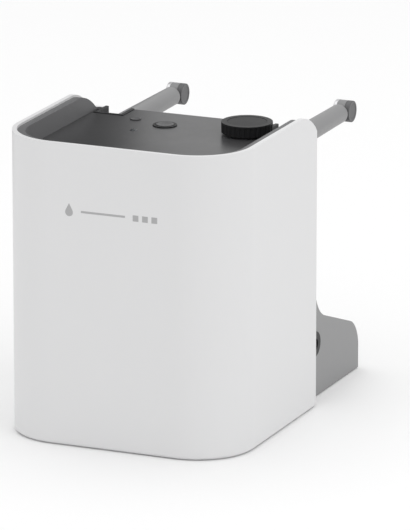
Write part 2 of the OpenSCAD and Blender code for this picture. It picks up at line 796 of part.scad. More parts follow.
module arm_bracket() {
    difference() {
        union() {
            block([arm_x - bracket_x, bracket_y0, bracket_z0],
                [arm_x + bracket_x, body_d - 0.1, deck_z + 0.55]);
            block([arm_x - 6, lug_y, lug_z - 6], [arm_x + 6, panel_y0 - 0.05, bracket_z0 + 0.5]);
        }
        block([arm_x - slot_x, bracket_y0 + 1.4, bracket_z0 + 1.5],
            [arm_x + slot_x, body_d + 10, deck_z + 5]);
        rod_x(pin_r + 0.03, arm_x - 20, arm_x + 20, pivot_y, arm_z);
        rod_y(screw_hole_r, lug_y - 5, lug_y + 6, arm_x, lug_z);
    }
}

module arm_brackets() color("#3a3a3c") place() both_sides() arm_bracket();

module bracket_screws() color("silver") place() both_sides()
    screw_forward(arm_x, body_d + head_t, lug_z, 10.5);

// Hollow pivot pin: closed at its outer end, with a hose tail at its inner end
module pivots() color("silver") place() both_sides() difference() {
    union() {
        rod_x(pin_r, arm_x - bracket_x - 0.7, arm_x + bracket_x - 0.1, pivot_y, arm_z);
        barb(barb_x, arm_x - bracket_x - 0.5, pivot_y, arm_z);
    }
    rod_x(1.4, barb_x - 1, arm_x + 2, pivot_y, arm_z);
    rod_y(1, pivot_y, pivot_y + 5, arm_x, arm_z);
}

module arm() {
    difference() {
        union() {
            rod_x(arm_d / 2, arm_x - 6.4, arm_x + 6.4, pivot_y, arm_z);
            translate([arm_x, pivot_y, arm_z]) rotate([-90, 0, 0])
                cylinder(r1 = arm_d / 2 - 0.1, r2 = tip_r, h = arm_end_y - pivot_y);
        }
        rod_x(pin_r + fit, arm_x - 10, arm_x + 10, pivot_y, arm_z);
        rod_y(1.6, pivot_y, arm_end_y + 1, arm_x, arm_z);
        rod_y(pin_r + fit, stub_y0 - 0.5, arm_end_y + 1, arm_x, arm_z);
    }
}

// Turned end piece: a barrel across the arm, cut back at both ends for its ring and its cap
module spout() {
    half = spout_w / 2;
    difference() {
        union() {
            difference() {
                union() {
                    rod_x(barrel_r, arm_x - half + 2, arm_x + half - 2.2, spout_y, arm_z);
                    rod_y(pin_r, stub_y0, spout_y, arm_x, arm_z);
                    rod_y(4, arm_end_y + 0.3, spout_y, arm_x, arm_z);
                }
                rod_x(barrel_r + 0.4, arm_x - half - 1, arm_x - half + 1.98, spout_y, arm_z);
                rod_x(barrel_r + 0.4, arm_x + half - 2.18, arm_x + half + 2, spout_y, arm_z);
            }
            rod_x(core_r, arm_x - half, arm_x + half, spout_y, arm_z);
        }
        rod_y(1.5, stub_y0 - 1, spout_y + 0.6, arm_x, arm_z);
        rod_z(outlet_d / 2, arm_z - 20, arm_z + 0.5, arm_x, spout_y);
        rod_x(1.6, arm_x + half - 1.9, arm_x + half + 1, spout_y, arm_z);
    }
}

module spout_ring(x) color("silver") place() difference() {
    rod_x(spout_d / 2, x - spout_w / 2, x - spout_w / 2 + 1.95, spout_y, arm_z);
    rod_x(core_r + 0.02, x - 20, x + 20, spout_y, arm_z);
}

// Dark cap over the barrel's outer end, with a stub in its bore
module spout_plug(x) color("#333333") place() {
    end_x = x + spout_w / 2;
    difference() {
        rod_x(barrel_r, end_x - 2.15, end_x + 0.9, spout_y, arm_z);
        rod_x(core_r + 0.02, end_x - 3, end_x + 0.02, spout_y, arm_z);
    }
    rod_x(1.55, end_x - 1.8, end_x + 0.5, spout_y, arm_z);
}

module arm_left() color("gray") place() mirror([1, 0, 0]) arm();
module arm_right() color("gray") place() arm();
module spout_left() color("gray") place() translate([-2 * arm_x, 0, 0]) spout();
module spout_right() color("gray") place() spout();
module roller_1() roller(0);
module roller_2() roller(1);
module roller_3() roller(2);
module spout_ring_left() spout_ring(-arm_x);
module spout_ring_right() spout_ring(arm_x);
module spout_plug_left() spout_plug(-arm_x);
module spout_plug_right() spout_plug(arm_x);

shell();
liner();
deck();
front_mark();
base_plate();
feet();
base_screws();
back_panel();
back_cover();
cover_screws();
rear_base();
power_inlet();
tank();
tank_lid();
tank_outlet();
suction_strainer();
float_stem();
level_float();
filler_neck();
neck_nut();
neck_seal();
filler_strainer();
cap_seal();
filler_cap();
cap_disc();
control_board();
board_parts();
board_screws();
power_button();
power_spring();
button_ring();
prime_button();
prime_spring();
status_lens();
pump_head();
pump_cover();
pump_tube();
pump_rotor();
roller_1();
roller_2();
roller_3();
gearbox();
pump_motor();
pump_bracket();
suction_hose();
delivery_hose();
tee_fitting();
arm_hoses();
wiring();
arm_brackets();
bracket_screws();
pivots();
arm_left();
arm_right();
spout_left();
spout_right();
spout_ring_left();
spout_ring_right();
spout_plug_left();
spout_plug_right();
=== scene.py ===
"""Looks of a closed-tank fluid station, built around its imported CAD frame.

Each sub-assembly is a class with its sizes in millimetres and methods that model and dress
its pieces. Depth is measured back from the housing's front face, height from the floor.
"""

import json
import logging
import math
from dataclasses import dataclass
from enum import Enum
from typing import Any, Callable, Sequence

import bmesh
import bpy
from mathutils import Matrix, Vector


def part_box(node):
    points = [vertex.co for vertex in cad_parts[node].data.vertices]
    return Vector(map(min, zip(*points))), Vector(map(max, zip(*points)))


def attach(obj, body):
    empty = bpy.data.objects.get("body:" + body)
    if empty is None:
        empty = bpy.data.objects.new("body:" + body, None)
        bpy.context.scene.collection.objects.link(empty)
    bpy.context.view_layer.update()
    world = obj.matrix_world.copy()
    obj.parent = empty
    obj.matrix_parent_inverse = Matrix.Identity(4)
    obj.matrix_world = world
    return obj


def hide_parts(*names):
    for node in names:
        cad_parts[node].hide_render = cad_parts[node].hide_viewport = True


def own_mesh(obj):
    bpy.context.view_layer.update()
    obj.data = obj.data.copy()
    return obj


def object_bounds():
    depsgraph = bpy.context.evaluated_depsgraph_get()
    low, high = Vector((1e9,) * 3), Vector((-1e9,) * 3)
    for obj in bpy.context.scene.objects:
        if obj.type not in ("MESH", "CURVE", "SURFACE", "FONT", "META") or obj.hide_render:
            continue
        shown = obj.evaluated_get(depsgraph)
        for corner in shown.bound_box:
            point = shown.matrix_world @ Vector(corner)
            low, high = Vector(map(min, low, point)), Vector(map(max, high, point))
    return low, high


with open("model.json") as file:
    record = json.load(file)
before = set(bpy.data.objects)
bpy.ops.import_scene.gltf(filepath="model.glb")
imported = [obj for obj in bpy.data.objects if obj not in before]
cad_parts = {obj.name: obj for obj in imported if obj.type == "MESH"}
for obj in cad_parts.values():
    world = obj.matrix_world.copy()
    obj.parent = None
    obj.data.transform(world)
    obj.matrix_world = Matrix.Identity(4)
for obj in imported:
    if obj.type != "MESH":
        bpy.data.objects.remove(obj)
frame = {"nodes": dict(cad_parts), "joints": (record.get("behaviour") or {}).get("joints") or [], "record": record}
CAD_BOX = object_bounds()

LOG = logging.getLogger("station")
MM = 0.001
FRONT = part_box("shell")[0].y / MM
# Least part of a face's unit normal along a direction for the face to look that way.
FACING = 0.9
# How near two heights or depths are, in millimetres, to count as one: loosely, then closely.
NEAR = 0.1
SAME = 0.01
# How far a cutter reaches past what it cuts, in millimetres.
PAST = 9
SMOOTH_ANGLE = math.radians(42)
Point = tuple[float, float, float]


def place(x: float, depth: float, z: float) -> Vector:
    """Turns a place in millimetres, with depth from the front face, into the frame's metres."""
    return Vector((x, FRONT + depth, z)) * MM


class Side(Enum):
    """The side of the object that an arm is on."""

    LEFT = "left"
    RIGHT = "right"


class End(Enum):
    """What sits on one end of a spout: its pale ring or its dark end cap."""

    RING = "ring"
    CAP = "plug"


class Element(Enum):
    """The kind of mesh element that is selected, as the mesh's name for its list of them."""

    VERT = "verts"
    EDGE = "edges"
    FACE = "faces"


class Axis(Enum):
    """The way a turned piece lies, as the rotation that takes +Z there."""

    X = (0.0, math.pi / 2, 0.0)
    Y = (-math.pi / 2, 0.0, 0.0)
    Z = (0.0, 0.0, 0.0)


# ---------------------------------------------------------------- modelling


class Piece:
    """One mesh object, shaped in edit mode and finished with applied modifiers."""

    def __init__(self, obj: bpy.types.Object, name: str) -> None:
        """Takes over an object that is at the origin with its place in its mesh.

        Args:
            obj: The object.
            name: Name for the object and its mesh.
        """
        self.obj = obj
        obj.name = name
        obj.data.name = name

    @staticmethod
    def _fresh(name: str) -> "Piece":
        """Bakes the place and size of the primitive just added into its mesh."""
        bpy.ops.object.transform_apply(location=True, rotation=True, scale=True)
        return Piece(bpy.context.active_object, name)

    @classmethod
    def block(cls, name: str, low: Point, high: Point) -> "Piece":
        """Adds a block between two corners.

        Args:
            name: Name of the piece.
            low: Lowest corner: x, depth and height in millimetres.
            high: Highest corner, in the same way.

        Returns:
            The new piece.
        """
        a, b = place(*low), place(*high)
        bpy.ops.object.select_all(action="DESELECT")
        bpy.ops.mesh.primitive_cube_add(size=1, location=(a + b) / 2, scale=b - a)
        return cls._fresh(name)

    @classmethod
    def turned(cls, name: str, centre: Point, axis: Axis, radius: float, length: float,
               far_radius: float | None = None, sides: int = 96) -> "Piece":
        """Adds a cylinder or a cone.

        Args:
            name: Name of the piece.
            centre: Middle of its axis: x, depth and height in millimetres.
            axis: The way its axis lies.
            radius: Radius at its near end, in millimetres.
            length: Length along the axis, in millimetres.
            far_radius: Radius at the far end, if it tapers.
            sides: Number of sides.

        Returns:
            The new piece.
        """
        bpy.ops.object.select_all(action="DESELECT")
        bpy.ops.mesh.primitive_cone_add(
            vertices=sides, radius1=radius * MM,
            radius2=(radius if far_radius is None else far_radius) * MM,
            depth=length * MM, location=place(*centre), rotation=axis.value)
        return cls._fresh(name)

    @classmethod
    def copy_of(cls, name: str, node: str) -> "Piece":
        """Copies a CAD node's mesh and merges its loose triangles.

        Args:
            name: Name of the copy.
            node: Name of the CAD node.

        Returns:
            The copy.
        """
        source = frame["nodes"][node]
        obj = bpy.data.objects.new(name, source.data.copy())
        bpy.context.scene.collection.objects.link(obj)
        obj.data.materials.clear()
        piece = cls(obj, name)
        with_edit(piece, lambda: bpy.ops.mesh.remove_doubles(threshold=1e-6))
        return piece

    def copy(self, name: str) -> "Piece":
        """Copies the piece with a mesh of its own.

        Args:
            name: Name of the copy.

        Returns:
            The copy.
        """
        obj = bpy.data.objects.new(name, self.obj.data.copy())
        bpy.context.scene.collection.objects.link(obj)
        return Piece(obj, name)

    def moved(self, x: float = 0, depth: float = 0, z: float = 0) -> "Piece":
        """Moves the mesh.

        Args:
            x: Millimetres to the right.
            depth: Millimetres to the back.
            z: Millimetres up.

        Returns:
            The piece.
        """
        step = Vector((x, depth, z)) * MM
        return with_edit(self, lambda: bpy.ops.mesh.select_all(action="SELECT"),
                         lambda: bpy.ops.transform.translate(value=step))

    def edges(self, test: Callable[[Vector, Vector], bool], *steps: Callable[[], Any]) -> "Piece":
        """Selects the edges whose ends pass the test, in millimetres, and runs edit steps."""
        return self._on(Element.EDGE, lambda e: test(*(local(v.co) for v in e.verts)), steps)

    def faces(self, test: Callable[[Vector, Vector], bool], *steps: Callable[[], Any]) -> "Piece":
        """Selects the faces whose centre and normal pass the test and runs edit steps."""
        return self._on(Element.FACE,
                        lambda f: test(local(f.calc_center_median()), f.normal), steps)

    def verts(self, test: Callable[[Vector], bool], *steps: Callable[[], Any]) -> "Piece":
        """Selects the vertices that pass the test, in millimetres, and runs edit steps."""
        return self._on(Element.VERT, lambda v: test(local(v.co)), steps)

    def _on(self, kind: Element, test: Callable[[Any], bool],
            steps: Sequence[Callable[[], Any]]) -> "Piece":
        """Selects elements of one kind in edit mode and runs steps on them.

        Args:
            kind: The kind of element.
            test: Says of each element whether it is selected.
            steps: The edit steps, run in order.

        Returns:
            The piece.
        """
        activate(self.obj)
        bpy.ops.object.mode_set(mode="EDIT")
        bpy.ops.mesh.select_mode(type=kind.name)
        bpy.ops.mesh.select_all(action="DESELECT")
        mesh = bmesh.from_edit_mesh(self.obj.data)
        mesh.normal_update()
        for element in getattr(mesh, kind.value):
            element.select_set(test(element))
        mesh.select_flush_mode()
        bmesh.update_edit_mesh(self.obj.data)
        for step in steps:
            step()
        bpy.ops.object.mode_set(mode="OBJECT")
        return self

    def modify(self, kind: str, **settings: Any) -> "Piece":
        """Adds a modifier and applies it.

        Args:
            kind: The modifier's type.
            settings: Its settings.

        Returns:
            The piece.
        """
        activate(self.obj)
        modifier = self.obj.modifiers.new(kind.lower(), kind)
        for key, value in settings.items():
            setattr(modifier, key, value)
        bpy.ops.object.modifier_apply(modifier=modifier.name)
        return self

    def cut(self, *cutters: "Piece", operation: str = "DIFFERENCE") -> "Piece":
        """Cuts the piece with others.

        Args:
            cutters: The other pieces, which are used up.
            operation: The boolean's operation.

        Returns:
            The piece.
        """
        for cutter in cutters:
            self.modify("BOOLEAN", operation=operation, solver="EXACT", object=cutter.obj)
            bpy.data.objects.remove(cutter.obj)
        return with_edit(self, lambda: bpy.ops.mesh.select_all(action="SELECT"),
                         lambda: bpy.ops.mesh.remove_doubles(threshold=2e-6))

    def join(self, *others: "Piece") -> "Piece":
        """Fuses the piece with others, which are used up."""
        return self.cut(*others, operation="UNION")

    def merged(self, other: "Piece") -> "Piece":
        """Takes another piece's mesh into this one without fusing them.

        Args:
            other: The other piece, which is used up.

        Returns:
            The piece.
        """
        bpy.ops.object.select_all(action="DESELECT")
        other.obj.select_set(True)
        self.obj.select_set(True)
        bpy.context.view_layer.objects.active = self.obj
        bpy.ops.object.join()
        return self

    def walls(self, thickness: float) -> "Piece":
        """Gives an open surface a wall of this many millimetres, inwards."""
        return self.modify("SOLIDIFY", thickness=thickness * MM, offset=-1, use_even_offset=True)

    def soften(self, width: float, segments: int = 3, angle: float = 35) -> "Piece":
        """Rounds the sharp edges and smooths the shading.

        Args:
            width: Width of the rounding in millimetres.
            segments: Number of faces across it.
            angle: Least angle of a sharp edge, in degrees.

        Returns:
            The piece.
        """
        self.modify("BEVEL", width=width * MM, segments=segments, limit_method="ANGLE",
                    angle_limit=math.radians(angle), use_clamp_overlap=True,
                    miter_outer="MITER_ARC")
        activate(self.obj)
        bpy.ops.object.shade_smooth_by_angle(angle=SMOOTH_ANGLE)
        return self.modify("WEIGHTED_NORMAL", keep_sharp=True)

    def wear(self, material: bpy.types.Material, body: str, slot: str,
             *nodes: str) -> bpy.types.Object:
        """Dresses the piece and ties it to the frame.

        Args:
            material: Its material.
            body: The CAD body it moves with.
            slot: The record's material slot; not used.
            nodes: The CAD nodes it stands for.

        Returns:
            The finished object.
        """
        self.obj.data.materials.clear()
        self.obj.data.materials.append(material)
        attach(self.obj, body)
        if nodes:
            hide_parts(*nodes)
        LOG.info("%s: %d faces on %s", self.obj.name, len(self.obj.data.polygons), body)
        return self.obj


def activate(obj: bpy.types.Object) -> None:
    """Makes one object the only selected and active one.

    Args:
        obj: The object.
    """
    bpy.ops.object.select_all(action="DESELECT")
    obj.select_set(True)
    bpy.context.view_layer.objects.active = obj


def local(point: Vector) -> Vector:
    """Turns metres in the frame into x, depth and height in millimetres."""
    return Vector((point.x / MM, point.y / MM - FRONT, point.z / MM))


def with_edit(piece: Piece, *steps: Callable[[], Any]) -> Piece:
    """Runs edit steps on the whole of a piece."""
    return piece._on(Element.VERT, lambda v: True, steps)


def bevel(width: float, segments: int) -> Callable[[], Any]:
    """An edit step that bevels the selected edges by millimetres."""
    return lambda: bpy.ops.mesh.bevel(offset=width * MM, segments=segments, affect="EDGES",
                                      clamp_overlap=False)


def inset(width: float, depth: float = 0) -> Callable[[], Any]:
    """An edit step that insets the selected faces, and sinks them by depth, in millimetres."""
    return lambda: bpy.ops.mesh.inset(thickness=width * MM, depth=-depth * MM)


def drop() -> Any:
    """An edit step that deletes the selected faces."""
    return bpy.ops.mesh.delete(type="FACE")


def upright(test: Callable[[Vector], bool]) -> Callable[[Vector, Vector], bool]:
    """An edge test for upright edges whose place passes a test."""
    return lambda a, b: abs(a.x - b.x) < SAME and abs(a.y - b.y) < SAME and test(a)


def crosswise(depth: float, z: float) -> Callable[[Vector, Vector], bool]:
    """An edge test for edges over 100 mm that run across at a depth and a height."""
    return lambda a, b: abs(a.x - b.x) > 100 and abs(a.z - z) < NEAR and abs(a.y - depth) < NEAR


def clean(piece: Piece) -> Piece:
    """Merges the flat triangles of a copied CAD mesh into whole faces."""
    return with_edit(piece, lambda: bpy.ops.mesh.select_all(action="SELECT"),
                     lambda: bpy.ops.mesh.dissolve_limited(angle_limit=math.radians(0.5)))


# ---------------------------------------------------------------- shading


class Value:
    """A shader value. Python arithmetic on it adds Math nodes."""

    def __init__(self, nodes: "Nodes", socket: bpy.types.NodeSocket) -> None:
        """Wraps one output socket."""
        self.nodes = nodes
        self.socket = socket

    def math(self, operation: str, first: Any, second: Any) -> "Value":
        """Adds one Math node."""
        return self.nodes.add("ShaderNodeMath", {"operation": operation}, {0: first, 1: second})

    def __add__(self, other: Any) -> "Value":
        """Sum."""
        return self.math("ADD", self, other)

    __radd__ = __add__

    def __sub__(self, other: Any) -> "Value":
        """Difference."""
        return self.math("SUBTRACT", self, other)

    def __rsub__(self, other: Any) -> "Value":
        """Difference, the other way round."""
        return self.math("SUBTRACT", other, self)

    def __mul__(self, other: Any) -> "Value":
        """Product."""
        return self.math("MULTIPLY", self, other)

    __rmul__ = __mul__


class Nodes:
    """The node tree of one material."""

    def __init__(self, name: str) -> None:
        """Starts a material with only its shader and its output.

        Args:
            name: Name of the material.
        """
        self.material = bpy.data.materials.new(name)
        self.material.use_nodes = True
        self.tree = self.material.node_tree
        self.shader = self.tree.nodes["Principled BSDF"]

    def add(self, kind: str, settings: dict[str, Any], sockets: dict[Any, Any],
            output: Any = 0) -> Value:
        """Adds a node.

        Args:
            kind: The node's type.
            settings: Its settings, which are set first.
            sockets: Values or links of its input sockets.
            output: The output socket to return.

        Returns:
            The value of that output.
        """
        node = self.tree.nodes.new(kind)
        for key, value in settings.items():
            setattr(node, key, value)
        for key, value in sockets.items():
            self.put(node.inputs[key], value)
        return Value(self, node.outputs[output])

    def put(self, socket: bpy.types.NodeSocket, value: Any) -> None:
        """Links a value to a socket, or sets the socket to it.

        Args:
            socket: The input socket.
            value: A shader value, a number, a colour or a vector.
        """
        if isinstance(value, Value):
            self.tree.links.new(value.socket, socket)
        else:
            socket.default_value = value

    def surface(self, centre: Vector, scale: Point = (1, 1, 1)) -> Value:
        """Object coordinates in metres about a centre.

        Args:
            centre: The place that becomes the origin.
            scale: How far the pattern is stretched along each axis.

        Returns:
            The coordinates.
        """
        coords = self.add("ShaderNodeTexCoord", {}, {}, "Object")
        return self.add("ShaderNodeMapping", {"vector_type": "TEXTURE"},
                        {"Vector": coords, "Location": centre, "Scale": scale})

    def noise(self, where: Value, scale: float, detail: float = 2) -> Value:
        """Grey noise about 0.5, with this many features to the metre."""
        return self.add("ShaderNodeTexNoise", {},
                        {"Vector": where, "Scale": scale, "Detail": detail}, "Fac")

    def blend(self, amount: Any, first: Sequence[float], second: Sequence[float]) -> Value:
        """Mixes two colours."""
        return self.add("ShaderNodeMix", {"data_type": "RGBA"},
                        {0: amount, 6: (*first, 1), 7: (*second, 1)}, 2)

    def bump(self, height: Value, depth: float, strength: float = 1) -> Value:
        """A normal bumped by a height.

        Args:
            height: The height, from 0 to 1.
            depth: How many millimetres a height of 1 is.
            strength: Share of the bump that shows.

        Returns:
            The normal.
        """
        return self.add("ShaderNodeBump", {},
                        {"Height": height, "Distance": depth * MM, "Strength": strength},
                        "Normal")

    def finish(self, **sockets: Any) -> bpy.types.Material:
        """Sets the shader's sockets.

        Args:
            sockets: A value or link for each socket, named with underscores for spaces.

        Returns:
            The material.
        """
        for key, value in sockets.items():
            self.put(self.shader.inputs[key.replace("_", " ")], value)
        return self.material


@dataclass(frozen=True)
class Moulding:
    """A moulded plastic: a spark-eroded grain over a faint flow mottle."""

    name: str
    colour: Point
    rough: float
    grain: float = 0.012
    mottle: float = 0.03
    pitch: float = 2600
    gloss: float = 0.5
    coat: float = 0.0
    flow: float = 22
    swirl: float = 140

    def make(self, centre: Vector) -> bpy.types.Material:
        """Builds the material.

        Args:
            centre: Middle of the piece, where its pattern is centred.

        Returns:
            The material.
        """
        nodes = Nodes(self.name)
        where = nodes.surface(centre)
        fine = nodes.noise(where, self.pitch, 3)
        broad = nodes.noise(where, self.flow, 4)
        swirl = nodes.noise(where, self.swirl, 3)
        dark = tuple(c * (1 - 2.2 * self.mottle) for c in self.colour)
        pale = tuple(min(1, c * (1 + self.mottle)) for c in self.colour)
        return nodes.finish(
            Base_Color=nodes.blend(broad * 0.6 + fine * 0.4, dark, pale),
            Roughness=self.rough + (broad - 0.5) * 0.08 + (fine - 0.5) * 0.16
            + (swirl - 0.5) * 0.05,
            Normal=nodes.bump(fine + swirl * 0.5, self.grain),
            Specular_IOR_Level=self.gloss, Coat_Weight=self.coat, Coat_Roughness=0.25)


@dataclass(frozen=True)
class Metal:
    """A bare metal with turning or brushing marks across one direction."""

    name: str
    colour: Point
    rough: float
    stretch: Point = (1, 1, 14)
    depth: float = 0.004
    pitch: float = 3200
    stain: float = 60

    def make(self, centre: Vector) -> bpy.types.Material:
        """Builds the material.

        Args:
            centre: Middle of the piece, where its marks are centred.

        Returns:
            The material.
        """
        nodes = Nodes(self.name)
        marks = nodes.noise(nodes.surface(centre, self.stretch), self.pitch, 3)
        broad = nodes.noise(nodes.surface(centre), self.stain, 3)
        dark = tuple(c * 0.82 for c in self.colour)
        return nodes.finish(
            Base_Color=nodes.blend(marks * 0.5 + broad * 0.5, dark, self.colour),
            Roughness=self.rough + (marks - 0.5) * 0.22 + (broad - 0.5) * 0.1,
            Normal=nodes.bump(marks, self.depth), Metallic=1.0)


@dataclass(frozen=True)
class Rubber:
    """A moulded rubber or silicone: matt, with a soft bloom."""

    name: str
    colour: Point
    rough: float = 0.7
    clear: float = 0.0
    cloud: float = 90
    pitch: float = 4200

    def make(self, centre: Vector) -> bpy.types.Material:
        """Builds the material.

        Args:
            centre: Middle of the piece, where its bloom is centred.

        Returns:
            The material.
        """
        nodes = Nodes(self.name)
        where = nodes.surface(centre)
        bloom = nodes.noise(where, self.cloud, 4)
        fine = nodes.noise(where, self.pitch, 2)
        pale = tuple(min(1, c * 1.25 + 0.012) for c in self.colour)
        return nodes.finish(
            Base_Color=nodes.blend(bloom, self.colour, pale),
            Roughness=self.rough + (bloom - 0.5) * 0.2,
            Normal=nodes.bump(fine * 0.6 + bloom * 0.4, 0.02),
            Subsurface_Weight=self.clear, Subsurface_Radius=(0.004, 0.003, 0.002))


WHITE = Moulding("white_shell", (0.74, 0.74, 0.745), 0.45, 0.006, 0.008, 2400)
DECK = Moulding("deck_grey", (0.05, 0.05, 0.052), 0.32, 0.003, 0.05, 2600, 0.6)
LINER = Moulding("liner_grey", (0.14, 0.14, 0.144), 0.5, 0.012, 0.05)
FOOT = Moulding("foot_grey", (0.285, 0.285, 0.288), 0.5, 0.014, 0.04)
ARM = Moulding("arm_grey", (0.25, 0.25, 0.253), 0.42, 0.01, 0.04)
BLACK = Moulding("black_plastic", (0.011, 0.011, 0.012), 0.45, 0.014, 0.2, 2600, 0.35)
DISC = Moulding("cap_disc", (0.016, 0.016, 0.017), 0.5, 0.01, 0.1, 2600, 0.3)
PLINTH = Moulding("plinth_grey", (0.82, 0.82, 0.825), 0.5, 0.01, 0.03)
# Near-black: partly the arm brackets' own dark plastic, partly painted shade for the shadow at the arms' roots.
BRACKET_WITH_PAINTED_SHADE = Moulding("bracket_dark", (0.03, 0.03, 0.032), 0.5, 0.014, 0.15)
# Darker than the arm grey: partly the end cap's own colour, partly painted shade for the shaded end of the spout
# head.
END_CAP_WITH_PAINTED_SHADE = Moulding("end_cap_grey", (0.11, 0.11, 0.113), 0.45, 0.012, 0.06)
BUTTON = Moulding("button_grey", (0.07, 0.07, 0.073), 0.38, 0.008, 0.06)
LENS = Moulding("clear_lens", (0.06, 0.065, 0.07), 0.12, 0.001, 0.1, 900, 0.6)
MARK = Moulding("mark_grey", (0.42, 0.42, 0.425), 0.5, 0.003, 0.04)
NATURAL = Moulding("tank_natural", (0.72, 0.71, 0.64), 0.45, 0.01, 0.03)
SILICONE = Rubber("soft_tube", (0.66, 0.6, 0.46), 0.35, 0.4)
SEAL = Rubber("seal_red", (0.25, 0.045, 0.035), 0.55)
FEET = Rubber("rubber_feet", (0.018, 0.018, 0.018), 0.75)
STEEL = Metal("steel", (0.55, 0.55, 0.56), 0.32)
RING = Metal("ring_metal", (0.7, 0.7, 0.71), 0.4, (14, 1, 1), 0.006)
FLOAT = Moulding("float_orange", (0.75, 0.22, 0.03), 0.6, 0.05, 0.08, 1500)
ACETAL = Moulding("rotor_white", (0.72, 0.72, 0.7), 0.35, 0.004, 0.02)
BOARD = Moulding("board_green", (0.012, 0.11, 0.045), 0.25, 0.003, 0.12, 900, 0.5, 0.4)
PARTS = Moulding("board_parts", (0.02, 0.02, 0.022), 0.4, 0.01, 0.15)
Finish = Moulding | Metal | Rubber
# The finish of each material slot. END_CAP_WITH_PAINTED_SHADE has no slot of its own.
FINISHES: dict[str, Finish] = {f.name: f for f in (
    WHITE, DECK, LINER, PLINTH, FOOT, ARM, BLACK, DISC, BRACKET_WITH_PAINTED_SHADE, BUTTON, LENS, MARK, NATURAL,
    SILICONE, SEAL, FEET, STEEL, RING, FLOAT, ACETAL, BOARD, PARTS)}


def material(finish: Finish, *nodes: str) -> bpy.types.Material:
    """Makes a finish, with its pattern centred on the middle of some CAD nodes."""
    corners = [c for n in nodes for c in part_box(n)]
    return finish.make(sum(corners, Vector()) / len(corners))


# ---------------------------------------------------------------- sub-assemblies


@dataclass
class Housing:
    """The white U-shaped shell with the front mark's recess, and the grey lining in its rim."""

    front_radius: float = 33
    back_radius: float = 8
    wall: float = 2.6
    liner_width: float = 4.4
    rim_drop: float = 1.2
    fall_radius: float = 34
    fall_depth: float = 96
    fall_lift: float = 0.3
    opening: float = 60.3
    returns: float = 105
    lean: float = 1.0
    liner_gap: float = 0.1
    liner_lift: float = 0.02
    mark_forward: float = 0.3
    shell_edge: float = 0.8
    liner_edge: float = 0.7

    def __post_init__(self) -> None:
        """Reads the housing's outer sizes from the frame."""
        low, high = (local(c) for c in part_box("shell"))
        self.half, self.back, self.bottom, self.top = high.x, high.y, low.z, high.z
        self.deck = local(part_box("deck")[1]).z

    def ring(self, name: str, gap: float, low: float, high: float, wall: float) -> Piece:
        """Models a wall that follows the housing's outline.

        Args:
            name: Name of the piece.
            gap: Distance inside the housing's outer face.
            low: Height of its foot.
            high: Height of its top.
            wall: Its thickness.

        Returns:
            The closed ring.
        """
        w = self.half - gap
        piece = Piece.block(name, (-w, gap, low), (w, self.back - gap, high))
        piece.edges(upright(lambda p: p.y < self.back / 2), bevel(self.front_radius - gap, 28))
        piece.edges(upright(lambda p: p.y > self.back - gap - SAME),
                    bevel(self.back_radius - gap, 10))
        piece.faces(lambda c, n: abs(n.z) > FACING, drop)
        return piece.walls(wall)

    def falling_line(self, drop_by: float) -> Piece:
        """A cutter for everything above the line where the side walls fall to the deck.

        Args:
            drop_by: How far the line lies inside the shell's own, in millimetres.

        Returns:
            The cutter.
        """
        block = Piece.block("fall", (-self.half - PAST, self.fall_depth, self.deck + SAME),
                            (self.half + PAST, self.back + 30, self.top + 20))
        centre = (0, self.fall_depth, self.top - self.fall_radius + self.fall_lift)
        drum = Piece.turned("drum", centre, Axis.X, self.fall_radius - drop_by,
                            2 * self.half + 40, sides=256)
        return block.cut(drum)

    def shell(self) -> None:
        """The white shell, open at the back between its two returns."""
        piece = self.ring("housing_shell", 0, self.bottom, self.top, self.wall)
        gap = Piece.block("gap", (-self.opening, self.back - PAST, self.bottom - 5),
                          (self.opening, self.back + PAST, self.top + PAST))
        mark = Piece.copy_of("mark_cut", "front_mark").moved(depth=-self.mark_forward)
        piece.cut(gap, self.falling_line(0), mark)
        piece.soften(self.shell_edge, 3)
        piece.wear(material(WHITE, "shell"), "base", "white_shell", "shell")

    def liner(self) -> None:
        """The grey lining, which leans in towards the deck at its foot."""
        foot = self.deck + self.liner_lift
        gap = self.wall + self.liner_gap
        piece = self.ring("rim_liner", gap, foot, self.top - self.rim_drop, self.liner_width)
        inner = self.half - gap - self.liner_width
        share = (inner - self.lean) / inner
        middle = place(0, self.back / 2, foot)
        piece.verts(lambda p: p.z < foot + NEAR and self.is_inside(p, gap + self.liner_width),
                    lambda: bpy.ops.transform.resize(value=(share, share, 1),
                                                     center_override=middle))
        open_back = Piece.block("open_back", (-self.opening, self.returns, foot - 5),
                                (self.opening, self.back + PAST, self.top + PAST))
        piece.cut(open_back, self.falling_line(self.rim_drop))
        piece.soften(self.liner_edge, 3)
        piece.wear(material(LINER, "liner"), "base", "liner_grey", "liner")

    def is_inside(self, p: Vector, gap: float) -> bool:
        """Whether a point is on or inside an outline that follows the housing's.

        Args:
            p: The point, in millimetres.
            gap: Distance of the outline inside the housing's outer face.

        Returns:
            True for a point on the outline or inside it.
        """
        slack = NEAR / 2
        w, r = self.half - gap + slack, self.front_radius - gap + slack
        if abs(p.x) > w or p.y < gap - slack or p.y > self.back - gap + slack:
            return False
        cx, cy = self.half - self.front_radius, self.front_radius
        if p.y < cy and abs(p.x) > cx:
            return math.hypot(abs(p.x) - cx, p.y - cy) <= r
        return True

    def build(self) -> None:
        """Builds the housing."""
        self.shell()
        self.liner()


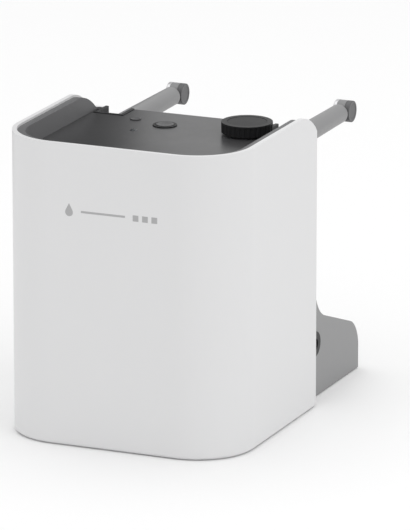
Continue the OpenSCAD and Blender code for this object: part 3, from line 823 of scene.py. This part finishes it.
@dataclass
class Deck:
    """The grey deck and its two keys."""

    edge: float = 0.35
    key_edge: float = 0.25
    flange: float = 1.0
    flange_width: float = 0.7
    flange_under: float = 3.6
    dish: float = 0.3
    lap: float = 0.1

    def plate(self) -> None:
        """The deck plate, from the CAD outline, with its edges rounded."""
        piece = clean(Piece.copy_of("deck_plate", "deck"))
        piece.soften(self.edge, 2)
        piece.wear(material(DECK, "deck"), "base", "deck_grey", "deck")

    def key(self, name: str, node: str, body: str, hollow: float) -> None:
        """A round key with a dished top.

        Args:
            name: Name of the piece.
            node: The CAD button it stands for.
            body: The body it moves with.
            hollow: How deep its top is dished.
        """
        low, high = (local(c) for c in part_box(node))
        deck = local(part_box("deck")[1]).z
        middle = (low + high) / 2
        radius = (high.x - low.x) / 2 - self.flange_width
        crown = high.z - low.z - self.flange
        piece = Piece.turned(name, (middle.x, middle.y, high.z - crown / 2), Axis.Z, radius,
                             crown + 2 * self.lap)
        ring = radius * self.dish
        piece.faces(lambda c, n: n.z > FACING, inset(ring), inset(ring, hollow))
        foot = Piece.turned("foot", (middle.x, middle.y, deck - self.flange_under), Axis.Z,
                            radius + self.flange_width, self.flange)
        piece.join(foot)
        piece.soften(self.key_edge, 3)
        piece.wear(material(BUTTON, node), body, "button_grey", node)

    def build(self) -> None:
        """Builds the deck and its keys."""
        self.plate()
        self.key("power_key_top", "power_button", "power_key", 0.35)
        self.key("prime_key_top", "prime_button", "prime_key", 0.2)


@dataclass
class Cap:
    """The black screw cap with a ribbed grip and an inlaid disc."""

    ribs: int = 30
    groove: float = 0.42
    grip_depth: float = 0.45
    collar: float = 1.0
    rim: float = 3.1
    recess: float = 0.5
    cave_radius: float = 11.2
    cave_depth: float = 4.8
    disc: float = 0.36
    disc_gap: float = 0.15
    disc_drop: float = 0.3
    edge: float = 0.3
    disc_edge: float = 0.12

    def build(self) -> None:
        """Builds the cap's outside around the CAD cave and thread, and its disc."""
        low, high = (local(c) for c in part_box("filler_cap"))
        middle, radius = (low + high) / 2, (high.x - low.x) / 2
        sides = self.ribs * 6
        cap = Piece.turned("screw_cap", (middle.x, middle.y, middle.z), Axis.Z, radius,
                           high.z - low.z, sides=sides)
        centre = place(middle.x, middle.y, middle.z)
        shrink = 1 - self.grip_depth / radius

        def in_groove(p: Vector) -> bool:
            """Whether a rim point is in one of the grip's grooves."""
            turn = math.degrees(math.atan2(p.y - middle.y, p.x - middle.x)) % (360 / self.ribs)
            return turn < 360 / self.ribs * self.groove

        cap.verts(in_groove, lambda: bpy.ops.transform.resize(value=(shrink, shrink, 1),
                                                              center_override=centre))
        collar = Piece.turned("collar", (middle.x, middle.y, high.z - self.collar / 2), Axis.Z,
                              radius - 0.05, self.collar, sides=sides)
        cap.join(collar)
        cap.cut(Piece.turned("recess", (middle.x, middle.y, high.z), Axis.Z, radius - self.rim,
                             2 * self.recess),
                Piece.turned("cave", (middle.x, middle.y, low.z + self.cave_depth / 2 - 1),
                             Axis.Z, self.cave_radius, self.cave_depth + 2))
        cap.soften(self.edge, 3, 30)
        cap.wear(material(BLACK, "filler_cap"), "cap", "black_plastic", "filler_cap")
        disc = Piece.turned("cap_inlay", (middle.x, middle.y, high.z - self.disc_drop), Axis.Z,
                            radius - self.rim - self.disc_gap, self.disc)
        disc.soften(self.disc_edge, 2)
        disc.wear(material(DISC, "cap_disc"), "cap", "cap_disc", "cap_disc")


@dataclass
class RearBase:
    """The low grey base behind the housing and the cover above it."""

    nose_radius: float = 18
    cove_radius: float = 20
    cove_z: float = 49.1
    slope: float = 0.35
    wall: float = 2.5
    vent_pitch: float = 8
    vent_width: float = 2.2
    vent_low: float = 7
    vent_high: float = 16
    socket_depth: float = 137
    socket_z: float = 31.5
    socket_radius: float = 6.6
    cover_wall: float = 2.2
    cover_radius: float = 7
    screw_x: float = 54
    screw_rows: tuple[float, float] = (74, 128)
    well_radius: float = 3
    well_depth: float = 2.2
    edge: float = 1.0

    def build(self) -> None:
        """Builds the base and the cover."""
        self.base()
        self.cover()

    def base(self) -> None:
        """The wedge: a block cut to its slope, with a hollow cove and a round nose."""
        low, high = (local(c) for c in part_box("rear_base"))
        cover = local(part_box("back_cover")[1]).y
        piece = Piece.block("rear_base_skin", (low.x, low.y, low.z), (high.x, high.y, high.z))
        run = high.y + 60 - cover
        wedge = Piece.block("wedge", (low.x - PAST, cover, self.cove_z),
                            (high.x + PAST, cover + run, high.z + 40))
        wedge.verts(lambda p: p.z < self.cove_z + 1 and p.y > cover + 1,
                    lambda: bpy.ops.transform.translate(value=(0, 0, -self.slope * run * MM)))
        piece.cut(wedge)
        tangent = 1 / math.tan((math.pi / 2 + math.atan(self.slope)) / 2)
        nose_z = self.cove_z - self.slope * (high.y - cover)
        piece.edges(crosswise(high.y, nose_z), bevel(self.nose_radius * tangent, 16))
        piece.edges(crosswise(cover, self.cove_z), bevel(self.cove_radius * tangent, 16))
        piece.faces(lambda c, n: n.z < -FACING or n.y < -FACING or c.z > high.z - SAME, drop)
        piece.walls(self.wall)
        half = self.vent_width / 2
        vents = [Piece.block("vent", (self.vent_pitch * i - half, high.y - 6, self.vent_low),
                             (self.vent_pitch * i + half, high.y + 2, self.vent_high))
                 for i in range(-3, 4)]
        hole = Piece.turned("hole", (high.x, self.socket_depth, self.socket_z), Axis.X,
                            self.socket_radius, 12)
        piece.cut(*vents, hole)
        piece.soften(self.edge, 3)
        piece.wear(material(FOOT, "rear_base"), "base", "foot_grey", "rear_base")

    def cover(self) -> None:
        """The upright cover, a shallow tray with a round top edge and four screw wells."""
        low, high = (local(c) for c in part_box("back_cover"))
        piece = Piece.block("back_cover_skin", (low.x, low.y, low.z), (high.x, high.y, high.z))
        piece.edges(crosswise(high.y, high.z), bevel(self.cover_radius, 10))
        piece.faces(lambda c, n: n.z < -FACING or n.y < -FACING, drop)
        piece.walls(self.cover_wall)
        wells = [Piece.turned("well", (s * self.screw_x, high.y, z), Axis.Y, self.well_radius,
                              2 * self.well_depth)
                 for s in (-1, 1) for z in self.screw_rows]
        piece.cut(*wells)
        piece.soften(self.edge, 3)
        piece.wear(material(FOOT, "back_cover"), "base", "foot_grey", "back_cover")


@dataclass
class Arm:
    """One arm with its spout, pale ring and dark end cap."""

    side: Side
    root: float = 5.9
    tip: float = 5.4
    bore: float = 3.06
    seat: float = 13
    stub: float = 3
    neck: float = 2.35
    neck_gap: float = 0.3
    outlet: float = 2
    rebate: float = 0.9
    cap_wall: float = 0.9
    face_rim: float = 1.3
    face_step: float = 0.45
    face_sink: float = 0.28
    fit: float = 0.03
    tip_edge: float = 1.2
    edge: float = 0.4
    spout_edge: float = 0.3

    def build(self) -> None:
        """Builds the arm and the pieces on its end."""
        node = f"arm_{self.side.value}"
        low, high = (local(c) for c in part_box(node))
        x, z = (low.x + high.x) / 2, (low.z + high.z) / 2
        pivot = low.y + (high.z - low.z) / 2
        length = high.y - pivot
        arm = Piece.turned(f"{self.side.value}_arm_bar", (x, pivot + length / 2, z), Axis.Y,
                           self.root, length, self.tip)
        arm.edges(lambda a, b: min(a.y, b.y) > high.y - SAME, bevel(self.tip_edge, 4))
        hub = Piece.turned("hub", (x, pivot, z), Axis.X, (high.z - low.z) / 2, high.x - low.x)
        arm.join(hub)
        arm.cut(Piece.turned("bore", (x, pivot, z), Axis.X, self.bore, 30),
                Piece.turned("seat", (x, high.y - (self.seat - 1) / 2, z), Axis.Y, self.bore,
                             self.seat + 1))
        arm.soften(self.edge, 3)
        arm.wear(material(ARM, node), f"{self.side.value}_arm", "arm_grey", node)
        self.spout()

    def spout(self) -> None:
        """The crosswise barrel on its stub, with its outlet below."""
        node, body = f"spout_{self.side.value}", f"{self.side.value}_spout"
        low, high = (local(c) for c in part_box(node))
        x, z = (low.x + high.x) / 2, (low.z + high.z) / 2
        ring_end = local(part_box(f"spout_ring_{self.side.value}")[1]).x
        cap_start = local(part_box(f"spout_plug_{self.side.value}")[0]).x
        end = local(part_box(f"arm_{self.side.value}")[1]).y
        radius = (high.z - low.z) / 2
        middle = high.y - radius
        core = radius - self.rebate
        barrel = Piece.turned(f"{self.side.value}_spout_barrel",
                              ((ring_end + cap_start) / 2, middle, z), Axis.X, radius,
                              cap_start - ring_end - 2 * self.fit)
        shaft = Piece.turned("shaft", (x, middle, z), Axis.X, core, high.x - low.x)
        neck = Piece.turned("neck", (x, (end + self.neck_gap + middle) / 2, z), Axis.Y,
                            self.neck, middle - end - self.neck_gap)
        stub = Piece.turned("stub", (x, (low.y + end) / 2, z), Axis.Y, self.stub,
                            end + 0.4 - low.y)
        barrel.join(shaft, neck, stub)
        barrel.cut(Piece.turned("outlet", (x, middle, z - 4), Axis.Z, self.outlet, PAST))
        barrel.soften(self.spout_edge, 3)
        barrel.wear(material(ARM, node), body, "arm_grey", node)
        self.collar(End.RING, core, body, middle, z)
        self.collar(End.CAP, core, body, middle, z)

    def collar(self, end: End, core: float, body: str, middle: float, z: float) -> None:
        """The pale ring or the dark end cap, bored to sit on the barrel's cut-back end. The end cap's dark grey is
        partly painted shade.

        Args:
            end: Which of the two.
            core: Radius of the barrel's cut-back ends, in millimetres.
            body: The body it moves with.
            middle: Depth of the barrel's axis.
            z: Height of the barrel's axis.
        """
        node = f"spout_{end.value}_{self.side.value}"
        low, high = (local(c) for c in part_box(node))
        piece = Piece.turned(f"{self.side.value}_spout_{end.value}_skin",
                             ((low.x + high.x) / 2, middle, z), Axis.X,
                             (high.z - low.z) / 2, high.x - low.x)
        if end is End.RING:
            piece.cut(Piece.turned("bore", (low.x, middle, z), Axis.X, core + self.fit, 20))
            piece.soften(self.spout_edge, 3)
            piece.wear(material(RING, node), body, "ring_metal", node)
            return
        piece.faces(lambda c, n: n.x > FACING, inset(self.face_rim),
                    inset(self.face_step, self.face_sink))
        piece.cut(Piece.turned("bore", (low.x, middle, z), Axis.X, core + self.fit,
                               2 * (high.x - low.x - self.cap_wall)))
        piece.soften(self.spout_edge, 3)
        # The end cap's darker grey is partly painted shade on the end of the spout head.
        piece.wear(material(END_CAP_WITH_PAINTED_SHADE, node), body, "bracket_dark", node)


@dataclass
class Screws:
    """Pan-head cross-recess screws, modelled once and copied to every place."""

    head: float = 2.7
    rise: float = 1.7
    shank: float = 1.4
    head_edge: float = 0.7
    edge: float = 0.12
    slot_reach: float = 1.5
    slot_width: float = 0.56
    slot_depth: float = 0.9
    lap: float = 0.2
    spacing: float = 6.5

    def make(self, name: str, axis: Axis, sign: int, face: Point, length: float) -> Piece:
        """Models one screw.

        Args:
            name: Its name.
            axis: The way it lies.
            sign: 1 where its head faces along the axis, -1 where it faces the other way.
            face: Middle of the head's face: x, depth and height in millimetres.
            length: Its whole length.

        Returns:
            The screw.
        """
        way = Vector((0, 1, 0)) if axis is Axis.Y else Vector((0, 0, 1))
        at = Vector(face)
        head = Piece.turned(name, tuple(at - way * sign * self.rise / 2), axis, self.head,
                            self.rise, sides=48)
        head.edges(lambda a, b: abs((a - at).dot(way)) < SAME and abs((b - at).dot(way)) < SAME
                   and (a - at).length > self.head - 2 * SAME, bevel(self.head_edge, 4))
        side = Vector((1, 0, 0))
        for arm in (side, way.cross(side)):
            size = arm * self.slot_reach + way.cross(arm) * self.slot_width / 2
            size = Vector((abs(size.x), abs(size.y), abs(size.z))) + way * self.slot_depth
            head.cut(Piece.block("slot", tuple(at - size), tuple(at + size)))
        shank = Piece.turned("shank",
                             tuple(at - way * sign * (length + self.rise - self.lap) / 2),
                             axis, self.shank, length - self.rise + self.lap, sides=32)
        return head.join(shank)

    def set_of(self, node: str, axis: Axis, sign: int) -> None:
        """Models a node's screws at the places of its loose parts.

        Args:
            node: The CAD node they stand for.
            axis: The way they lie.
            sign: 1 where their heads face along the axis, -1 where they face the other way.
        """
        low, high = (local(c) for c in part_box(node))
        places = self.places(node)
        faces = [Vector((u, high.y, v) if axis is Axis.Y else (u, v, low.z)) for u, v in places]
        length = high.y - low.y if axis is Axis.Y else high.z - low.z
        pattern = self.make(f"{node}_set", axis, sign, tuple(faces[0]), length)
        twins = [pattern.copy("twin").moved(*(face - faces[0])) for face in faces[1:]]
        for twin in twins:
            pattern.merged(twin)
        pattern.soften(self.edge, 2, 40)
        pattern.wear(material(STEEL, node), "base", "steel", node)

    def places(self, node: str) -> list[tuple[float, float]]:
        """Where a node's screws stand, read from its own mesh.

        Args:
            node: Name of a CAD node made of upright or lying screws.

        Returns:
            The two coordinates across the screws' axis, one pair to a screw.
        """
        lying = node == "cover_screws"
        groups: list[list[tuple[float, float]]] = []
        for vertex in frame["nodes"][node].data.vertices:
            p = local(vertex.co)
            pair = (p.x, p.z if lying else p.y)
            near = [g for g in groups if math.dist(g[0], pair) < self.spacing]
            if near:
                near[0].append(pair)
            else:
                groups.append([pair])
        return [tuple((min(v) + max(v)) / 2 for v in zip(*group)) for group in groups]


@dataclass
class Springs:
    """The two return springs. How far they would shorten as their buttons are pressed is worked out but not used.
    """

    squeeze: float = 1.04
    smooth: float = 60

    def build(self) -> None:
        """Builds both springs."""
        for node, joint in (("power_spring", "power_press"), ("prime_spring", "prime_press")):
            low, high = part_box(node)
            travel = max(next(j for j in frame["joints"] if j["name"] == joint)["range_m"])
            piece = Piece.copy_of(f"{node}_wire", node)
            activate(piece.obj)
            bpy.ops.object.shade_smooth_by_angle(angle=math.radians(self.smooth))
            spring = piece.wear(material(STEEL, node), "base", "steel", node)
            keep = 1 - self.squeeze * travel / (high.z - low.z)
            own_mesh(spring)


class Trims:
    """Outer CAD pieces that keep their outline and get rounded edges."""

    # Each node with its finish and the width of its edges' rounding in millimetres. The arm brackets' near-black
    # finish is partly painted shade at the arms' roots.
    PLAN: tuple[tuple[str, Finish, float], ...] = (
        ("base_plate", PLINTH, 0.3), ("feet", FEET, 0.2), ("back_panel", LINER, 0.4),
        ("power_inlet", BLACK, 0.25), ("button_ring", BLACK, 0.2), ("status_lens", LENS, 0.2),
        ("arm_brackets", BRACKET_WITH_PAINTED_SHADE, 0.3), ("pivots", STEEL, 0.2), ("front_mark", MARK, 0.04))

    def build(self) -> None:
        """Builds every trim."""
        for node, finish, width in self.PLAN:
            piece = clean(Piece.copy_of(f"{node}_trim", node))
            piece.soften(width, 2)
            piece.wear(material(finish, node), "base", finish.name, node)


class Fittings:
    """CAD nodes whose shape is right, which only need their finish."""

    def build(self) -> None:
        """Gives every shown CAD node its own procedural material."""
        slots = {s["node"]: s["material_slot"] for s in frame["record"]["subparts"]}
        for name, obj in frame["nodes"].items():
            obj.data.materials.clear()
            obj.data.materials.append(material(FINISHES[slots[name]], name))


@dataclass
class Studio:
    """A pale floor, soft light and the camera, with distances in metres."""

    azimuth: float = 23.3
    elevation: float = 15.5
    distance: float = 3.46
    lens: float = 425
    aim_shift: Point = (0.012, -0.006, -0.004)
    lamp_aim: Point = (0, 0, 0.08)
    sky: float = 0.84
    card_at: Point = (-0.475, 0.3, 0.26)
    card_size: Point = (0.62, 0.5, 1)

    def build(self) -> None:
        """Builds the floor, the lights and the camera."""
        self.floor()
        self.lights()
        self.camera()

    def floor(self) -> None:
        """A plain pale floor."""
        bpy.ops.object.select_all(action="DESELECT")
        bpy.ops.mesh.primitive_plane_add(size=30)
        floor = bpy.context.active_object
        floor.name = "floor"
        nodes = Nodes("floor_pale")
        floor.data.materials.append(nodes.finish(Base_Color=(0.93, 0.93, 0.93, 1), Roughness=0.9,
                                                 Specular_IOR_Level=0.1))

    def lights(self) -> None:
        """White surroundings and two large soft lamps."""
        scene = bpy.context.scene
        scene.view_settings.view_transform = "Standard"
        world = bpy.data.worlds.new("surroundings")
        world.use_nodes = True
        world.node_tree.nodes["Background"].inputs[0].default_value = (1, 1, 1, 1)
        world.node_tree.nodes["Background"].inputs[1].default_value = self.sky
        scene.world = world
        self.lamp("key", (1.9, -0.6, 2.0), 1.8, 9)
        self.lamp("top", (-0.2, 0.2, 2.6), 2.4, 16)
        self.flag()

    def flag(self) -> None:
        """A dark card behind the left side, which shows only in reflections."""
        bpy.ops.object.select_all(action="DESELECT")
        bpy.ops.mesh.primitive_plane_add(size=1, location=self.card_at,
                                         rotation=(math.pi / 2, 0, 0))
        card = bpy.context.active_object
        card.name = "flag"
        card.scale = self.card_size
        nodes = Nodes("flag_dark")
        card.data.materials.append(nodes.finish(Base_Color=(0.01, 0.01, 0.01, 1), Roughness=1.0,
                                                Specular_IOR_Level=0.0))
        card.visible_camera = False
        card.visible_diffuse = False
        card.visible_shadow = False

    def lamp(self, name: str, at: Point, size: float, power: float) -> None:
        """A square lamp that faces the object.

        Args:
            name: Its name.
            at: Its place in metres.
            size: The length of its side in metres.
            power: Its power in watts.
        """
        light = bpy.data.lights.new(name, "AREA")
        light.size = size
        light.energy = power
        lamp = bpy.data.objects.new(name, light)
        lamp.location = at
        way = Vector(self.lamp_aim) - lamp.location
        lamp.rotation_euler = way.to_track_quat("-Z", "Y").to_euler()
        bpy.context.scene.collection.objects.link(lamp)

    def camera(self) -> None:
        """A long lens from the front right, a little above."""
        data = bpy.data.cameras.new("camera")
        data.lens = self.lens
        data.clip_end = 60
        camera = bpy.data.objects.new("camera", data)
        a, e = math.radians(self.azimuth), math.radians(self.elevation)
        back = Vector((math.sin(a) * math.cos(e), -math.cos(a) * math.cos(e), math.sin(e)))
        low, high = CAD_BOX
        aim = (low + high) / 2 + Vector(self.aim_shift)
        camera.location = aim + back * self.distance
        camera.rotation_euler = (-back).to_track_quat("-Z", "Y").to_euler()
        bpy.context.scene.collection.objects.link(camera)
        bpy.context.scene.camera = camera


def main() -> None:
    """Builds the studio and every sub-assembly; each dressed piece logs its face count."""
    logging.basicConfig(level=logging.INFO, format="%(name)s %(message)s")
    Studio().build()
    Fittings().build()
    Housing().build()
    Deck().build()
    Cap().build()
    RearBase().build()
    for side in Side:
        Arm(side).build()
    Trims().build()
    Springs().build()
    screws = Screws()
    screws.set_of("cover_screws", Axis.Y, 1)
    screws.set_of("base_screws", Axis.Z, -1)


if __name__ == "__main__":
    main()
